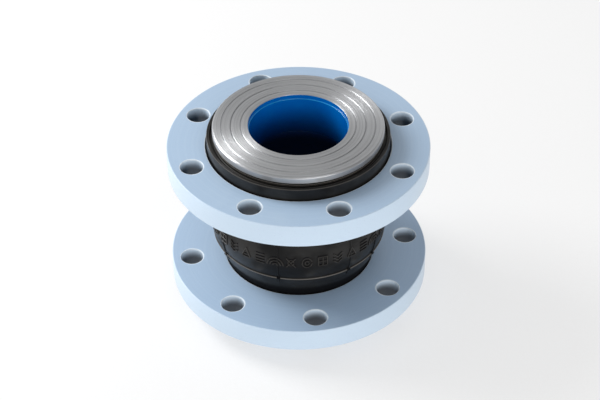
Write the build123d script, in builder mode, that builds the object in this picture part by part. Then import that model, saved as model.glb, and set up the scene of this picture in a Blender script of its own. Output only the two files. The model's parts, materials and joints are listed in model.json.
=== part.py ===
"""Single-arch rubber expansion joint with two loose flanges and grooved steel face rings.

Millimetres. The lower sealing face is at z = 0 and the pipe axis is +Z.
End sections are written as (radius, depth below the sealing face) and used at both ends.
"""
import os
from math import cos, pi, sin

from build123d import *

os.makedirs("parts", exist_ok=True)

# ---- overall ----
LENGTH = 198.0          # sealing face to sealing face
FLANGE_OD = 254.0       # 5 inch, class 150 drilling
FLANGE_T = 23.8
FLANGE_DEPTH = 22.0     # sealing face to the flange's outer face
BOLT_EDGE = 19.05       # bolt centre to the flange's rim
BOLT_HOLES = 8
BOLT_R = 11.1
BOLT_CHAMFER = 0.7
FLANGE_CHAMFER = 0.8
UPPER_CLOCK = 20.3      # first bolt hole's angle from +X, degrees
LOWER_CLOCK = 8.4

# ---- face ring ----
RING_R = 82.8
RING_T = 7.0
RING_BEVEL = 1.6
LIP_R = 48.4            # the ring's own bore
LIP_T = 4.6             # depth of the step down to the sleeve
LIP_CHAMFER = 0.4
GROOVE_FIRST = 55.4
GROOVE_PITCH = 9.4
GROOVES = 3
GROOVE_W = 1.3
GROOVE_D = 0.9

# ---- throat sleeve ----
THROAT_R = 47.4
SLEEVE_T = 3.0
SLEEVE_LIP_R = 54.0
SLEEVE_DEPTH = 44.0     # how far the sleeve reaches below the sealing face
SLEEVE_ROUND = 0.8

# ---- rubber ends ----
PAD_T = 4.0
PAD_R = 81.4
COLLAR_R = 88.4
COLLAR_TOP = 10.0       # depth of the collar's crest
TROUGH_DEPTH = 13.0
HEEL_DEPTH = 32.7
NECK_R = 72.6

# ---- running fits of the loose flange ----
FLANGE_GAP = 1.3        # flange recess over the collar, and flange bore over the neck
SEAT_GAP = 0.8          # flange seat behind the heel

# ---- wall layers, radius at the neck and at the arch crown ----
TUBE_IN = (THROAT_R + SLEEVE_T, 74.0)
TUBE_OUT = (60.0, 78.0)
PLY_T = 0.9
MID_T = (3.6, 1.8)
COVER_OUT = (NECK_R, 88.0)

# ---- bead ----
FOLD_DEPTH = 24.0       # depth where the plies begin to turn
FOLD_IN = 70.0
FOLD_OUT = 76.5
PLY_END = 31.5
WIRE_R = 1.2
WIRE_PITCH = 2.45
WRAP_IN = 3.7
WRAP_OUT = 4.3

# ---- moulded detail ----
RIDGE_OFFSET = 24.3     # ridges above and below the crown
RIDGE_R = 0.9
SEAM_ANGLES = (-147.0, -103.5, -55.5, -32.5, 33.0, 76.5, 124.5, 147.5)
SEAM_W = 1.2            # degrees
SEAM_H = 0.5
MARK_BAND = 6.8
MARK_H = 0.6
MARK_SPAN = (200.0, 340.0)
MARKS = 14

MID = LENGTH / 2


# ---- helpers ----
def place(points, end):
    """(radius, depth) points as (x, z) at the lower or the upper end."""
    if end == "upper":
        return [(r, LENGTH - h) for r, h in points]
    return [(r, h) for r, h in points]


def layer(base, thick):
    """The next boundary outwards from base, thick being one value or (neck, crown)."""
    neck, crown = thick if isinstance(thick, tuple) else (thick, thick)
    return (base[0] + neck, base[1] + crown)


def arch_radius(bound, share):
    """Radius of a wall boundary, share being 0 at the neck and 1 at the crown."""
    return bound[0] + (bound[1] - bound[0]) * share


def arch_points(bound, extra=0.0):
    """The arch of one boundary from the lower neck to the upper neck."""
    reach = MID - SLEEVE_DEPTH
    half = [(1.0, 0.0), (0.909, 0.084), (0.727, 0.344), (0.442, 0.727), (0.218, 0.935)]
    low = [(arch_radius(bound, s) + extra, MID - f * reach) for f, s in half]
    high = [(r, LENGTH - z) for r, z in reversed(low)]
    return low + [(bound[1] + extra, MID)] + high


def fold_points(neck, end):
    """A ply's fold around the bead, from the end of its outer leg to the neck."""
    outer = FOLD_OUT + FOLD_IN - neck
    top = FOLD_DEPTH - (FOLD_IN - neck)
    path = [(outer, PLY_END), (outer, FOLD_DEPTH), (FOLD_OUT, top), (FOLD_IN, top)]
    path += [(neck, FOLD_DEPTH), (neck, SLEEVE_DEPTH)]
    return place(path, end)


def along(points):
    """Straight lines through the points, inside the current line builder."""
    Polyline(*points)


def arch(bound):
    """The arch curve, with vertical ends, inside the current line builder."""
    points = arch_points(bound)
    Spline(*points, tangents=[(0, 1), (0, 1)])


def save(name, solid):
    """Label and write one node."""
    solid.label = name
    export_step(solid, f"parts/{name}.step")


B0 = TUBE_IN
B1 = TUBE_OUT
B2 = layer(B1, PLY_T)
B3 = layer(B2, PLY_T)
B4 = layer(B3, MID_T)
B5 = layer(B4, PLY_T)
B6 = layer(B5, PLY_T)
B7 = COVER_OUT


# ---- stainless face ring ----
def ring_section(end):
    """Ring with a bevelled rim, a lip over the sleeve and open grooves in its face."""
    path = [(LIP_R + LIP_CHAMFER, 0.0)]
    for k in range(GROOVES):
        r = GROOVE_FIRST + k * GROOVE_PITCH
        path += [(r - GROOVE_W / 2, 0.0), (r - GROOVE_W / 3, GROOVE_D)]
        path += [(r + GROOVE_W / 3, GROOVE_D), (r + GROOVE_W / 2, 0.0)]
    path += [(RING_R - RING_BEVEL, 0.0), (RING_R, RING_BEVEL), (RING_R, RING_T)]
    path += [(SLEEVE_LIP_R, RING_T), (SLEEVE_LIP_R, LIP_T), (LIP_R, LIP_T)]
    path += [(LIP_R, LIP_CHAMFER), path[0]]
    return place(path, end)


with BuildPart() as upper_face_ring:
    with BuildSketch(Plane.XZ):
        with BuildLine():
            along(ring_section("upper"))
        make_face()
    revolve(axis=Axis.Z)
save("upper_face_ring", upper_face_ring.part)

with BuildPart() as lower_face_ring:
    with BuildSketch(Plane.XZ):
        with BuildLine():
            along(ring_section("lower"))
        make_face()
    revolve(axis=Axis.Z)
save("lower_face_ring", lower_face_ring.part)


# ---- blue throat sleeve ----
def sleeve_section(end):
    """Tube with a flat collar under the ring's lip and a rounded mouth."""
    outer = THROAT_R + SLEEVE_T
    path = [(SLEEVE_LIP_R, LIP_T), (SLEEVE_LIP_R, RING_T), (outer, RING_T)]
    path += [(outer, SLEEVE_DEPTH), (THROAT_R, SLEEVE_DEPTH)]
    for k in range(5):
        turn = pi / 2 * k / 4
        r = THROAT_R + SLEEVE_ROUND * (1 - cos(turn))
        path.append((r, LIP_T + SLEEVE_ROUND * (1 - sin(turn))))
    path.append(path[0])
    return place(path, end)


with BuildPart() as upper_throat_sleeve:
    with BuildSketch(Plane.XZ):
        with BuildLine():
            along(sleeve_section("upper"))
        make_face()
    revolve(axis=Axis.Z)
save("upper_throat_sleeve", upper_throat_sleeve.part)

with BuildPart() as lower_throat_sleeve:
    with BuildSketch(Plane.XZ):
        with BuildLine():
            along(sleeve_section("lower"))
        make_face()
    revolve(axis=Axis.Z)
save("lower_throat_sleeve", lower_throat_sleeve.part)


# ---- seal pad ----
def pad_section(end):
    """Flat rubber washer bonded between the ring and the end of the rubber body."""
    inner = THROAT_R + SLEEVE_T
    low = RING_T + PAD_T
    path = [(inner, RING_T), (PAD_R - 0.4, RING_T), (PAD_R, RING_T + 0.6), (PAD_R, low)]
    path += [(inner, low), (inner, RING_T)]
    return place(path, end)


with BuildPart() as upper_seal_pad:
    with BuildSketch(Plane.XZ):
        with BuildLine():
            along(pad_section("upper"))
        make_face()
    revolve(axis=Axis.Z)
save("upper_seal_pad", upper_seal_pad.part)

with BuildPart() as lower_seal_pad:
    with BuildSketch(Plane.XZ):
        with BuildLine():
            along(pad_section("lower"))
        make_face()
    revolve(axis=Axis.Z)
save("lower_seal_pad", lower_seal_pad.part)


# ---- bead cover: the collar, its trough and the heel that the flange pulls on ----
def seat_depth(radius):
    """Depth of the conical heel at a radius."""
    return HEEL_DEPTH + (COLLAR_R - radius) * 0.414


def collar_section(end):
    """Rubber around the folded plies, closed by the heel and the neck."""
    top = RING_T + PAD_T
    neck = B1[0]
    outer = FOLD_OUT + FOLD_IN - neck
    crest = FOLD_DEPTH - (FOLD_IN - neck)
    path = [(neck, top), (PAD_R, top), (PAD_R + 0.8, TROUGH_DEPTH)]
    path += [(COLLAR_R - 3.8, TROUGH_DEPTH), (COLLAR_R - 2.8, COLLAR_TOP + 0.6)]
    path += [(COLLAR_R - 2.2, COLLAR_TOP), (COLLAR_R - 1.0, COLLAR_TOP)]
    path += [(COLLAR_R - 0.3, COLLAR_TOP + 0.4), (COLLAR_R, COLLAR_TOP + 1.2)]
    path += [(COLLAR_R, HEEL_DEPTH - 0.8), (COLLAR_R - 0.9, seat_depth(COLLAR_R - 0.9))]
    path += [(NECK_R, seat_depth(NECK_R)), (NECK_R, SLEEVE_DEPTH), (B6[0], SLEEVE_DEPTH)]
    path += [(B6[0], PLY_END), (outer, PLY_END), (outer, FOLD_DEPTH)]
    path += [(FOLD_OUT, crest), (FOLD_IN, crest), (neck, FOLD_DEPTH), (neck, top)]
    return place(path, end)


with BuildPart() as upper_bead_cover:
    with BuildSketch(Plane.XZ):
        with BuildLine():
            along(collar_section("upper"))
        make_face()
    revolve(axis=Axis.Z)
save("upper_bead_cover", upper_bead_cover.part)

with BuildPart() as lower_bead_cover:
    with BuildSketch(Plane.XZ):
        with BuildLine():
            along(collar_section("lower"))
        make_face()
    revolve(axis=Axis.Z)
save("lower_bead_cover", lower_bead_cover.part)

# ---- bead core: a hoop of seven wires, its tape wrap and the filler around it ----
FILL_IN = B6[0]
FILL_OUT = FOLD_OUT + FOLD_IN - FILL_IN
FILL_TOP = FOLD_DEPTH - (FOLD_IN - FILL_IN)
CORE_R = (FILL_IN + FILL_OUT) / 2
CORE_DEPTH = (FILL_TOP + PLY_END) / 2


def core_spot(end):
    """Centre of the wire bundle in the section plane."""
    return place([(CORE_R, CORE_DEPTH)], end)[0]


def fill_section(end):
    """The space inside the innermost ply's fold."""
    path = [(FILL_IN, PLY_END), (FILL_OUT, PLY_END), (FILL_OUT, FOLD_DEPTH)]
    path += [(FOLD_OUT, FILL_TOP), (FOLD_IN, FILL_TOP), (FILL_IN, FOLD_DEPTH)]
    path.append(path[0])
    return place(path, end)


with BuildPart() as upper_bead_core:
    with BuildSketch(Plane.XZ):
        with Locations(core_spot("upper")):
            Circle(WIRE_R)
            with PolarLocations(WIRE_PITCH, 6):
                Circle(WIRE_R)
    revolve(axis=Axis.Z)
save("upper_bead_core", upper_bead_core.part)

with BuildPart() as lower_bead_core:
    with BuildSketch(Plane.XZ):
        with Locations(core_spot("lower")):
            Circle(WIRE_R)
            with PolarLocations(WIRE_PITCH, 6):
                Circle(WIRE_R)
    revolve(axis=Axis.Z)
save("lower_bead_core", lower_bead_core.part)

with BuildPart() as upper_bead_wrap:
    with BuildSketch(Plane.XZ):
        with Locations(core_spot("upper")):
            Circle(WRAP_OUT)
            Circle(WRAP_IN, mode=Mode.SUBTRACT)
    revolve(axis=Axis.Z)
save("upper_bead_wrap", upper_bead_wrap.part)

with BuildPart() as lower_bead_wrap:
    with BuildSketch(Plane.XZ):
        with Locations(core_spot("lower")):
            Circle(WRAP_OUT)
            Circle(WRAP_IN, mode=Mode.SUBTRACT)
    revolve(axis=Axis.Z)
save("lower_bead_wrap", lower_bead_wrap.part)

with BuildPart() as upper_bead_filler:
    with BuildSketch(Plane.XZ):
        with BuildLine():
            along(fill_section("upper"))
        make_face()
        with Locations(core_spot("upper")):
            Circle(WRAP_OUT, mode=Mode.SUBTRACT)
    revolve(axis=Axis.Z)
save("upper_bead_filler", upper_bead_filler.part)

with BuildPart() as lower_bead_filler:
    with BuildSketch(Plane.XZ):
        with BuildLine():
            along(fill_section("lower"))
        make_face()
        with Locations(core_spot("lower")):
            Circle(WRAP_OUT, mode=Mode.SUBTRACT)
    revolve(axis=Axis.Z)
save("lower_bead_filler", lower_bead_filler.part)

# ---- inner tube ----
TUBE_TOP = RING_T + PAD_T
with BuildPart() as inner_tube:
    with BuildSketch(Plane.XZ):
        with BuildLine():
            arch(B0)
            along([(B0[0], LENGTH - SLEEVE_DEPTH), (B0[0], LENGTH - TUBE_TOP),
                   (B1[0], LENGTH - TUBE_TOP), (B1[0], LENGTH - SLEEVE_DEPTH)])
            arch(B1)
            along([(B1[0], SLEEVE_DEPTH), (B1[0], TUBE_TOP),
                   (B0[0], TUBE_TOP), (B0[0], SLEEVE_DEPTH)])
        make_face()
    revolve(axis=Axis.Z)
save("inner_tube", inner_tube.part)


# ---- plies and middle rubber, folded around both beads ----
def fold_layer(inside, outside):
    """One layer between two boundaries, drawn in the current line builder."""
    low_in = fold_points(inside[0], "lower")
    low_out = fold_points(outside[0], "lower")
    high_in = fold_points(inside[0], "upper")
    high_out = fold_points(outside[0], "upper")
    along(low_in)
    arch(inside)
    along(high_in)
    along([high_in[0], high_out[0]])
    along(high_out)
    arch(outside)
    along(low_out)
    along([low_out[0], low_in[0]])


with BuildPart() as cord_ply_1:
    with BuildSketch(Plane.XZ):
        with BuildLine():
            fold_layer(B1, B2)
        make_face()
    revolve(axis=Axis.Z)
save("cord_ply_1", cord_ply_1.part)

with BuildPart() as cord_ply_2:
    with BuildSketch(Plane.XZ):
        with BuildLine():
            fold_layer(B2, B3)
        make_face()
    revolve(axis=Axis.Z)
save("cord_ply_2", cord_ply_2.part)

with BuildPart() as middle_rubber:
    with BuildSketch(Plane.XZ):
        with BuildLine():
            fold_layer(B3, B4)
        make_face()
    revolve(axis=Axis.Z)
save("middle_rubber", middle_rubber.part)

with BuildPart() as cord_ply_3:
    with BuildSketch(Plane.XZ):
        with BuildLine():
            fold_layer(B4, B5)
        make_face()
    revolve(axis=Axis.Z)
save("cord_ply_3", cord_ply_3.part)

with BuildPart() as cord_ply_4:
    with BuildSketch(Plane.XZ):
        with BuildLine():
            fold_layer(B5, B6)
        make_face()
    revolve(axis=Axis.Z)
save("cord_ply_4", cord_ply_4.part)

# ---- outer cover with mould ridges, seams and raised marks ----
RIDGE_SHARE = 0.727


def raised_strip(low, high, height, angle, width):
    """A shallow raised sector that stands on the arch between two heights."""
    points = arch_points(B7, -SEAM_H)
    turn = angle * pi / 180
    plane = Plane((0, 0, 0), x_dir=(cos(turn), sin(turn), 0), z_dir=(sin(turn), -cos(turn), 0))
    with BuildSketch(plane) as strip:
        with BuildLine():
            Spline(*points, tangents=[(0, 1), (0, 1)])
            Line(points[-1], (points[-1][0] + height + SEAM_H, points[-1][1]))
            Spline(*arch_points(B7, height), tangents=[(0, 1), (0, 1)])
            Line(points[0], (points[0][0] + height + SEAM_H, points[0][1]))
        make_face()
        with Locations((B7[1], (low + high) / 2)):
            Rectangle(4 * B7[1] - 4 * B7[0], high - low, mode=Mode.INTERSECT)
    revolve(strip.sketch, axis=Axis.Z, revolution_arc=width)


with BuildPart() as outer_cover:
    with BuildSketch(Plane.XZ):
        with BuildLine():
            arch(B6)
            along([(B6[0], LENGTH - SLEEVE_DEPTH), (B7[0], LENGTH - SLEEVE_DEPTH)])
            arch(B7)
            along([(B7[0], SLEEVE_DEPTH), (B6[0], SLEEVE_DEPTH)])
        make_face()
    revolve(axis=Axis.Z)
    with BuildSketch(Plane.XZ):
        with Locations((arch_radius(B7, RIDGE_SHARE), MID - RIDGE_OFFSET)):
            Circle(RIDGE_R)
        with Locations((arch_radius(B7, RIDGE_SHARE), MID + RIDGE_OFFSET)):
            Circle(RIDGE_R)
    revolve(axis=Axis.Z)
    for angle in SEAM_ANGLES:
        low = MID - RIDGE_OFFSET - 8.0
        raised_strip(low, MID + RIDGE_OFFSET + 8.0, SEAM_H, angle, SEAM_W)
    for k in range(MARKS):
        step = (MARK_SPAN[1] - MARK_SPAN[0]) / MARKS
        start = MARK_SPAN[0] + k * step
        raised_strip(MID - MARK_BAND, MID + MARK_BAND, MARK_H, start, step * 0.55)
save("outer_cover", outer_cover.part)

# ---- loose flanges ----
FLANGE_R = FLANGE_OD / 2
BOLT_CIRCLE_R = FLANGE_R - BOLT_EDGE
RECESS_R = COLLAR_R + FLANGE_GAP
FLANGE_BORE_R = NECK_R + FLANGE_GAP


def flange_section(end):
    """Plate with a recess for the collar and a conical seat behind the heel."""
    face = FLANGE_DEPTH
    back = FLANGE_DEPTH + FLANGE_T
    c = FLANGE_CHAMFER
    seat = seat_depth(RECESS_R) + SEAT_GAP
    inner = seat_depth(FLANGE_BORE_R) + SEAT_GAP
    path = [(RECESS_R + c, face), (FLANGE_R - c, face), (FLANGE_R, face + c)]
    path += [(FLANGE_R, back - c), (FLANGE_R - c, back), (FLANGE_BORE_R + c, back)]
    path += [(FLANGE_BORE_R, back - c), (FLANGE_BORE_R, inner), (RECESS_R, seat)]
    path += [(RECESS_R, face + c), path[0]]
    return place(path, end)


def bolt_edges(part):
    """The mouths of the bolt holes."""
    rings = part.edges().filter_by(GeomType.CIRCLE)
    return rings.filter_by(lambda e: abs(e.radius - BOLT_R) < 0.01)


with BuildPart() as upper_flange:
    with BuildSketch(Plane.XZ):
        with BuildLine():
            along(flange_section("upper"))
        make_face()
    revolve(axis=Axis.Z)
    with Locations((0, 0, LENGTH - FLANGE_DEPTH - FLANGE_T / 2)):
        with PolarLocations(BOLT_CIRCLE_R, BOLT_HOLES, start_angle=UPPER_CLOCK):
            Cylinder(BOLT_R, 2 * FLANGE_T, mode=Mode.SUBTRACT)
    chamfer(bolt_edges(upper_flange.part), BOLT_CHAMFER)
save("upper_flange", upper_flange.part)

with BuildPart() as lower_flange:
    with BuildSketch(Plane.XZ):
        with BuildLine():
            along(flange_section("lower"))
        make_face()
    revolve(axis=Axis.Z)
    with Locations((0, 0, FLANGE_DEPTH + FLANGE_T / 2)):
        with PolarLocations(BOLT_CIRCLE_R, BOLT_HOLES, start_angle=LOWER_CLOCK):
            Cylinder(BOLT_R, 2 * FLANGE_T, mode=Mode.SUBTRACT)
    chamfer(bolt_edges(lower_flange.part), BOLT_CHAMFER)
save("lower_flange", lower_flange.part)
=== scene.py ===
"""Rubber expansion joint: every surface, finish, light and the camera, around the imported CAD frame.

Metres. The lower sealing face is z = 0, the pipe axis is +Z and the front is -Y. End sections are
written as (radius, depth below the sealing face, corner rounding) and used at both ends.
"""
import json
from functools import cache
from math import cos, pi, radians, sin

import bpy
import numpy as np
from bpy.props import FloatProperty, FloatVectorProperty, IntProperty, PointerProperty
from mathutils import Matrix, Quaternion, Vector

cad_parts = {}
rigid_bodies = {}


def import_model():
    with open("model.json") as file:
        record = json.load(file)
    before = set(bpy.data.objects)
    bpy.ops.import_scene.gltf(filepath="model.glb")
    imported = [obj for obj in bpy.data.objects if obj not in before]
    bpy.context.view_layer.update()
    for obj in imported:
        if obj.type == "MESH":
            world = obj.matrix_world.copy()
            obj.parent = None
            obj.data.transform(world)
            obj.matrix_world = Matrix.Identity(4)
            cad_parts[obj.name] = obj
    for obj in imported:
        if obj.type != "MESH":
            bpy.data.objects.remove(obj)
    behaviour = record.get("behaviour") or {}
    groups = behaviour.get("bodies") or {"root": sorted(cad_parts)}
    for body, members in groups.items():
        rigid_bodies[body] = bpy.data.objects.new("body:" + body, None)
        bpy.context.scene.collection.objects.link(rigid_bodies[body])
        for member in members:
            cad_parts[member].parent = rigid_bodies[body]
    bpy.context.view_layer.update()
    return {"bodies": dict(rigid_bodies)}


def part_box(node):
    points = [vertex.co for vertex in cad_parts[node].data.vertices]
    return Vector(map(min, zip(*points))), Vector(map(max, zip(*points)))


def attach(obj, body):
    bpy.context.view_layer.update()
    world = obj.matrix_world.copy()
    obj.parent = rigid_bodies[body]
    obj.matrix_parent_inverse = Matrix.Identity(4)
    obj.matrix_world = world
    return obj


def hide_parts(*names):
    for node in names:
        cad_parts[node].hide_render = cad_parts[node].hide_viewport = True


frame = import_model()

bl_info = {
    "name": "Rubber expansion joint",
    "version": (1, 0, 0),
    "blender": (4, 5, 0),
    "location": "3D View > Sidebar > Joint",
    "description": "Builds a single-arch rubber expansion joint with loose flanges",
    "category": "Object",
}

ENDS = ("lower", "upper")
WELD = 1e-7              # points closer than this are one vertex
CORNER_STEPS = 5         # points of a rounded corner
WIDE_BEND = 0.001        # wider roundings are bends; tighter edges get the pale painted highlight and wear
FOLD_BEND = 0.002        # rounding of the fold around a bead
PLY_GAP = 0.00005        # hidden gap between a collar and the wall layers it holds
WALL_STEPS = 61          # heights along a plain side of the wall
TUBE_COLUMNS = 192       # columns of a hidden turned piece
HOOP_SIDES = 28          # sides of the tape around the wires
HELD_NECK = 0.004        # length of a neck, past its sleeve, that moves as one with its end
STROKE_STEP = 0.0005     # distance between points along a raised stroke
SMOOTH_ANGLE = radians(40)
SEAM_DEGREES = (-147.0, -103.5, -55.5, -32.5, 33.0, 76.5, 124.5, 147.5)


# ---- sizes and colours a user would change ----
def amount(name, description, default, **words):
    """A plain number, or one with the unit that the words give."""
    return FloatProperty(name=name, description=description, default=default, **words)


def length(name, description, default):
    """A size in metres."""
    return amount(name, description, default, subtype="DISTANCE", unit="LENGTH")


def angle(name, description, default):
    """An angle in radians, given here in degrees."""
    return amount(name, description, radians(default), subtype="ANGLE", unit="ROTATION")


def point(name, description, default):
    """A place in metres."""
    return FloatVectorProperty(
        name=name, description=description, default=default, subtype="TRANSLATION", unit="LENGTH"
    )


def colour(name, description, default):
    """A linear colour."""
    return FloatVectorProperty(
        name=name, description=description, default=default, subtype="COLOR", size=3, min=0, max=1
    )


RING_LOW, RING_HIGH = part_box("upper_face_ring")
SLEEVE_LOW, SLEEVE_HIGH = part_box("upper_throat_sleeve")
PAD_LOW, PAD_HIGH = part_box("upper_seal_pad")
COLLAR_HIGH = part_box("upper_bead_cover")[1]
CORE_LOW, CORE_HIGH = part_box("upper_bead_core")
WRAP_LOW, WRAP_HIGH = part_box("upper_bead_wrap")
FILL_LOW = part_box("upper_bead_filler")[0]
PLATE_LOW, PLATE_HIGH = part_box("upper_flange")
FACE_Z = RING_HIGH.z


class JointEndSizes(bpy.types.PropertyGroup):
    ring_radius: length("Ring radius", "Outside radius of the steel face ring", RING_HIGH.x)
    ring_thick: length("Ring thickness", "Thickness of the face ring", FACE_Z - RING_LOW.z)
    ring_bevel: length("Ring bevel", "Bevel at the ring's rim", 0.0016)
    lip_radius: length("Lip radius", "Bore of the ring's lip", 0.0484)
    lip_depth: length("Lip depth", "Depth of the step down to the sleeve", FACE_Z - SLEEVE_HIGH.z)
    groove_first: length("First groove", "Radius of the innermost sealing groove", 0.0554)
    groove_pitch: length("Groove pitch", "Distance between sealing grooves", 0.0094)
    groove_width: length("Groove width", "Width of a groove at the face", 0.0013)
    groove_depth: length("Groove depth", "Depth of a groove", 0.0009)
    sleeve_bore: length("Sleeve bore", "Inside radius of the throat sleeve", 0.0474)
    sleeve_wall: length("Sleeve wall", "Wall of the throat sleeve", 0.003)
    sleeve_collar: length("Sleeve collar", "Radius of the collar under the ring", SLEEVE_HIGH.x)
    sleeve_depth: length("Sleeve depth", "How far the sleeve reaches in", FACE_Z - SLEEVE_LOW.z)
    pad_radius: length("Pad radius", "Outside radius of the rubber washer", PAD_HIGH.x)
    pad_depth: length("Pad depth", "Depth of the washer's lower face", FACE_Z - PAD_LOW.z)
    pad_bead: length("Pad bead", "How far the washer's bead stands out", 0.0007)
    coat: length("Coating", "Thickness of the coating up the ring's lip", 0.0003)
    coat_depth: length("Coating depth", "Where that coating starts", 0.0006)
    collar_radius: length("Collar radius", "Outside radius of the rubber collar", COLLAR_HIGH.x)
    collar_top: length("Collar crest", "Depth of the collar's crest", FACE_Z - COLLAR_HIGH.z)
    crest_width: length("Crest width", "Flat crest between the outside and the trough", 0.0029)
    crest_foot: length("Crest foot", "The crest's width at the bottom of the trough", 0.0038)
    trough_depth: length("Trough depth", "Depth of the trough behind the crest", 0.013)
    heel_depth: length("Heel depth", "Depth of the heel at the collar's edge", 0.0327)
    heel_slope: amount("Heel slope", "Fall of the heel inwards", 0.414)


class JointWallSizes(bpy.types.PropertyGroup):
    neck_inner: length("Tube bore at the neck", "Inner radius of the wall at the neck", 0.0504)
    crown_inner: length("Tube bore at the crown", "Inner radius of the wall at the crown", 0.074)
    neck_tube: length("Tube outside at the neck", "Outer radius of the tube at the neck", 0.060)
    crown_tube: length("Tube outside at the crown", "Outer radius of the tube at the crown", 0.078)
    ply: length("Ply thickness", "Thickness of one cord ply", 0.0009)
    neck_middle: length("Middle rubber at the neck", "Thickness of the middle rubber", 0.0036)
    crown_middle: length("Middle rubber at the crown", "Thickness at the crown", 0.0018)
    neck_cover: length("Cover at the neck", "Outer radius of the cover at the neck", 0.0726)
    crown_cover: length("Cover at the crown", "Outer radius of the cover at the crown", 0.088)
    fold_depth: length("Fold depth", "Depth where the plies begin to turn", 0.024)
    fold_in: length("Fold start", "Radius where the fold's crest starts", 0.070)
    fold_out: length("Fold end", "Radius where the fold's crest ends", 0.0765)
    ply_end: length("Ply end", "Depth where the turned plies stop", FACE_Z - FILL_LOW.z)
    tape: length("Tape", "Thickness of the tape around the wires", 0.0006)
    ridge_offset: length("Ridge offset", "Mould ridge above and below the crown", 0.0243)
    ridge_radius: length("Ridge radius", "Size of a mould ridge", 0.0011)
    seam_width: length("Seam width", "Half width of a mould seam", 0.0008)
    seam_height: length("Seam height", "How far a seam stands up", 0.0008)
    seam_reach: length("Seam reach", "How far a seam runs past a ridge", 0.008)
    mark_height: length("Mark height", "How far the raised marks stand up", 0.0011)
    mark_half: length("Mark stroke", "Half width of a mark's stroke", 0.0007)
    mark_wide: length("Mark width", "Half width of a mark", 0.0055)
    mark_tall: length("Mark size", "Half height of a mark", 0.0066)
    mark_first: angle("First mark", "Angle where the band of marks starts", 200)
    mark_pitch: angle("Mark pitch", "Angle from one mark to the next", 10)
    marks: IntProperty(name="Marks", description="Raised marks in the band", default=14, min=0)
    nub: length("Flash nub", "Half width of the nubs where seams cross ridges", 0.0014)


class JointFlangeSizes(bpy.types.PropertyGroup):
    radius: length("Flange radius", "Outside radius of a flange", PLATE_HIGH.x)
    face: length("Face depth", "Sealing face to the flange's outer face", FACE_Z - PLATE_HIGH.z)
    back: length("Back depth", "Sealing face to the flange's inner face", FACE_Z - PLATE_LOW.z)
    edge: length("Edge", "Size of the rounded rim edges", 0.0008)
    recess: length("Recess radius", "Recess around the rubber collar", 0.0897)
    bore: length("Bore radius", "Bore around the neck", 0.0739)
    seat_gap: length("Seat gap", "Gap between the seat and the heel", 0.0008)
    bolt_circle: length("Bolt circle radius", "Radius of the bolt circle", 0.10795)
    bolt_radius: length("Bolt hole radius", "Radius of a bolt hole", 0.0111)
    bolt_edge: length("Bolt hole edge", "Size of a hole's rounded edges", 0.0007)
    bolts: IntProperty(name="Bolt holes", description="Bolt holes in a flange", default=8, min=3)
    upper_clock: angle("Upper clocking", "First bolt hole's angle, upper flange", 20.3)
    lower_clock: angle("Lower clocking", "First bolt hole's angle, lower flange", 8.4)


class JointColours(bpy.types.PropertyGroup):
    coating: colour("Flange coating", "Pale blue-grey powder coat", (0.424, 0.568, 0.745))
    # Painted highlight: this pale colour also paints the flange rims and edges, besides thin coating
    # and tooling.
    coating_thin: colour("Coating on edges", "Where the coating is thin", (0.60, 0.72, 0.84))
    coating_cloud: colour("Coating clouds", "Darker clouds in the coating", (0.30, 0.43, 0.60))
    # Painted highlight at the hole mouths, painted light on the hole walls near the top and painted
    # shade further down.
    hole_edge: colour("Hole edges", "Mouths of the bolt holes", (0.80, 0.88, 0.95))
    hole_top: colour("Hole walls", "Walls of the bolt holes near the top", (0.67, 0.79, 0.91))
    hole_deep: colour("Deep hole", "Walls of the bolt holes far down", (0.034, 0.054, 0.080))
    steel: colour("Stainless steel", "Turned face rings", (0.57, 0.58, 0.595))
    steel_dark: colour("Dark steel", "Darker rings in the steel", (0.38, 0.385, 0.395))
    throat: colour("Throat coating", "Deep blue coating in the bore", (0.0, 0.140, 0.530))
    # Painted shade: the bore darkens to this navy far inside.
    deep: colour("Deep bore", "Navy far inside the bore", (0.0, 0.010, 0.038))
    rubber: colour("Cover rubber", "Black rubber outside", (0.006, 0.006, 0.0065))
    bloom: colour("Bloom", "Brownish bloom on the rubber", (0.020, 0.018, 0.015))
    # Pale crests: a painted highlight, with some wear.
    worn: colour("Worn rubber", "Crests where the rubber is worn", (0.130, 0.118, 0.105))
    tube: colour("Inner rubber", "Rubber inside the wall", (0.012, 0.012, 0.013))
    cord: colour("Cord", "Nylon cord", (0.52, 0.44, 0.29))
    wire: colour("Bead wire", "Brass-washed wire", (0.62, 0.50, 0.30))
    tape: colour("Tape", "Rubbered cotton tape", (0.30, 0.27, 0.22))


class JointStage(bpy.types.PropertyGroup):
    camera: point("Camera", "Where the camera stands", (0.003139, -1.472935, 1.297962))
    aim: point("Aim", "The point the camera looks at", (0.00124, 0.0, 0.10472))
    roll: angle("Roll", "Turn of the camera about its line of sight", -0.32)
    lens: amount("Lens", "Focal length in millimetres", 115.37)
    floor: colour("Floor", "Pale floor", (0.36, 0.36, 0.36))
    floor_half: length("Floor half size", "From the middle of the floor to a side", 6.0)
    floor_glow: amount("Floor glow", "Light from the floor", 0.60)
    low_room: amount("Low room light", "Near the floor line", 0.93)
    high_room: amount("High room light", "Overhead", 0.42)
    right_room: amount("Right side", "Share of light there", 0.60)
    key: amount("Key light", "Power in watts", 21, unit="POWER")
    fill: amount("Front light", "Power in watts", 11.5, unit="POWER")


# ---- surfaces ----
class Patch:
    """A grid of points with its own UV and a mask that is 1 on rounded edges."""

    def __init__(self, points, u, v, edge):
        self.points = points
        self.uv = np.stack([u, v], axis=-1)
        self.edge = edge


def polar(r, turn, z):
    """Points at a radius, an angle and a height: (r cos turn, r sin turn, z)."""
    return np.stack(np.broadcast_arrays(r * np.cos(turn), r * np.sin(turn), z), axis=-1)


def bends(start, corner, stop):
    """Rows of corners C with cuts A and B as bends: (1-t)^2 A + 2t(1-t) C + t^2 B."""
    t = np.linspace(0, 1, CORNER_STEPS)[None, :, None]
    return (1 - t) ** 2 * start[:, None] + 2 * t * (1 - t) * corner[:, None] + t**2 * stop[:, None]


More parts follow.
